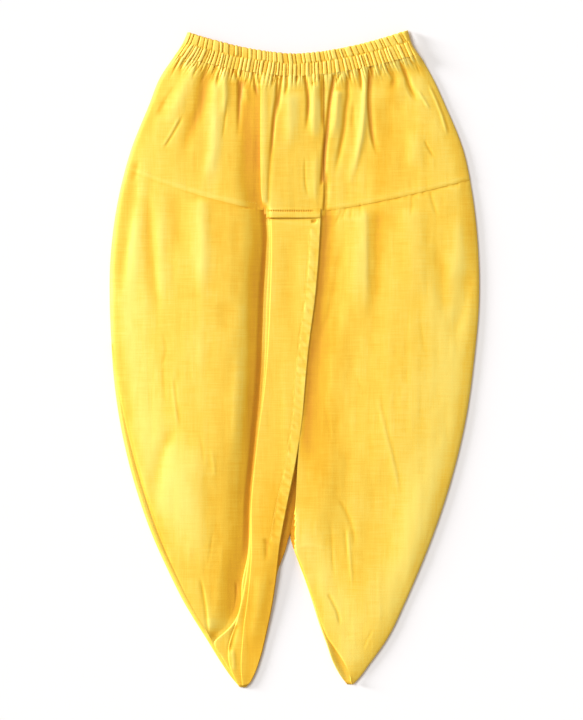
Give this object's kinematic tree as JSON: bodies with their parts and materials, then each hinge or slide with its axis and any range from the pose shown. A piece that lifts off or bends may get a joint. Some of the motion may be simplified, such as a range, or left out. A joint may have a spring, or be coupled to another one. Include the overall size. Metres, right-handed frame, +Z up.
{
  "type": "child's pull-on dhoti trousers laid flat",
  "caption": "Child's pull-on dhoti laid flat: gathered elastic waist, hip yoke, tulip-shaped legs ending in points and a pleated strip down the front.",
  "frame": {"origin": "centre of the garment's outline, on the surface it lies on", "axes": "+Z up out of the surface, +Y towards the waist, +X to the right as seen from above, with the front of the garment up"},
  "size_m": [0.3503, 0.624, 0.0077],
  "materials": {
    "cotton": "bright golden-yellow plain-weave cotton, matte with a faint sheen"
  },
  "bodies": {
    "root": {"waistband_front": "cotton", "waistband_back": "cotton", "yoke_front_left": "cotton", "centre_panel": "cotton", "yoke_front_right": "cotton", "yoke_back": "cotton", "cross_tab": "cotton", "pleat_base": "cotton", "pleat_middle": "cotton", "pleat_top": "cotton", "crotch_gusset": "cotton", "leg_front_left": "cotton", "leg_front_right": "cotton", "leg_back_left": "cotton", "leg_back_right": "cotton"}
  },
  "joints": []
}
